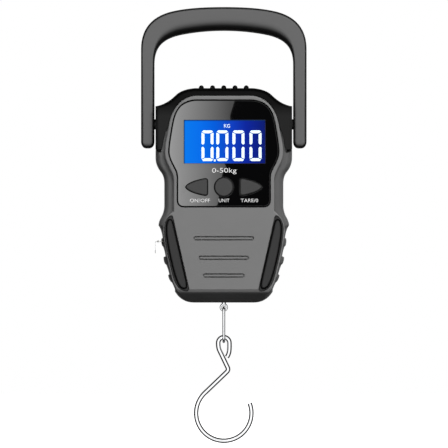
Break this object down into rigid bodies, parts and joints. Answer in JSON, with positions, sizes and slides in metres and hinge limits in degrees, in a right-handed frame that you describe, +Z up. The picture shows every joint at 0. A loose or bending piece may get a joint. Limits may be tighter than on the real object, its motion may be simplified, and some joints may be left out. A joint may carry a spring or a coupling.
{
  "type": "digital fish scale",
  "caption": "Hand-held digital hanging scale with a pivoting bail handle, lit display, push buttons, pull-out tape and a wire hook.",
  "frame": {"origin": "middle of the handle's crossbar, on its underside, where the hand carries the load", "axes": "+Z up, +X to the right of someone who reads the display, -Y the way the display faces"},
  "size_m": [0.086, 0.0284, 0.2267],
  "materials": {
    "handle_grey": "satin moulded",
    "housing_grey": "satin moulded",
    "black_plastic": "satin moulded",
    "bumper_black": "soft gloss",
    "window_black": "high gloss",
    "display_blue": "lit, gloss",
    "white_plastic": "matt",
    "silicone": "matt",
    "board_green": "satin",
    "chip_black": "satin",
    "button_grey": "satin",
    "grip_rubber": "matt",
    "grip_strip": "matt",
    "cell_jacket": "gloss",
    "plated_steel": "plated",
    "aluminium": "machined",
    "stainless": "polished",
    "tape_white": "lacquered",
    "spring_steel": "blued",
    "lead_grey": "satin"
  },
  "bodies": {
    "handle": {"handle_bail": "handle_grey", "left_pivot_pin": "black_plastic", "right_pivot_pin": "black_plastic"},
    "housing": {"front_shell": "housing_grey", "rear_shell": "housing_grey", "top_bumper": "bumper_black", "window_panel": "window_black", "display_module": "display_blue", "backlight_panel": "white_plastic", "display_connector": "silicone", "circuit_board": "board_green", "controller_chip": "chip_black", "button_mat": "silicone", "left_switch": "chip_black", "centre_switch": "chip_black", "right_switch": "chip_black", "left_grip_pad": "grip_rubber", "right_grip_pad": "grip_rubber", "left_grip_strip": "grip_strip", "right_grip_strip": "grip_strip", "upper_battery": "cell_jacket", "lower_battery": "cell_jacket", "joining_contact": "plated_steel", "positive_contact": "plated_steel", "negative_contact": "plated_steel", "load_cell": "aluminium", "load_cell_screw_1": "plated_steel", "load_cell_screw_2": "plated_steel", "eye_nut": "plated_steel", "strain_gauge": "white_plastic", "gauge_lead": "lead_grey", "load_eye": "stainless", "tape_case": "black_plastic", "tape_axle": "plated_steel", "housing_screw_1": "plated_steel", "housing_screw_2": "plated_steel", "housing_screw_3": "plated_steel", "housing_screw_4": "plated_steel"},
    "left_button": {"left_button": "button_grey"},
    "centre_button": {"centre_button": "button_grey"},
    "right_button": {"right_button": "button_grey"},
    "battery_cover": {"battery_cover": "housing_grey"},
    "tape_reel": {"tape_reel": "black_plastic", "tape_coil": "tape_white", "tape_spring": "spring_steel"},
    "tape_blade": {"tape_blade": "tape_white", "tape_end_hook": "stainless", "tape_rivet": "plated_steel"},
    "link": {"wire_link": "stainless"},
    "hook": {"hook": "stainless"}
  },
  "joints": [
    {"name": "housing_swing", "type": "hinge", "parent": "handle", "child": "housing", "pos_m": [0, 0, -0.0486], "axis": [1, 0, 0], "range_deg": [-150, 150]},
    {"name": "left_button_press", "type": "slide", "parent": "housing", "child": "left_button", "axis": [0, 1, 0], "range_m": [0, 0.001], "stiffness_N_per_m": 400},
    {"name": "centre_button_press", "type": "slide", "parent": "housing", "child": "centre_button", "axis": [0, 1, 0], "range_m": [0, 0.001], "stiffness_N_per_m": 400},
    {"name": "right_button_press", "type": "slide", "parent": "housing", "child": "right_button", "axis": [0, 1, 0], "range_m": [0, 0.001], "stiffness_N_per_m": 400},
    {"name": "battery_cover_lift", "type": "slide", "parent": "housing", "child": "battery_cover", "axis": [0, 1, 0], "range_m": [0, 0.02]},
    {"name": "tape_pull", "type": "slide", "parent": "housing", "child": "tape_blade", "axis": [-1, 0, 0], "range_m": [-0.002, 0.028], "stiffness_N_per_m": 15},
    {"name": "tape_reel_spin", "type": "hinge", "parent": "housing", "child": "tape_reel", "pos_m": [0, -0.0075, -0.1195], "axis": [0, 1, 0], "range_deg": [-170, 15]},
    {"name": "link_swing", "type": "hinge", "parent": "housing", "child": "link", "pos_m": [0, 0, -0.14535], "axis": [1, 0, 0], "range_deg": [-65, 65]},
    {"name": "hook_swing", "type": "hinge", "parent": "link", "child": "hook", "pos_m": [0, 0, -0.16165], "axis": [0, 1, 0], "range_deg": [-60, 60]}
  ],
  "couplings": [
    {"joint": "tape_reel_spin", "follows": "tape_pull", "rad_per_m": -100}
  ]
}
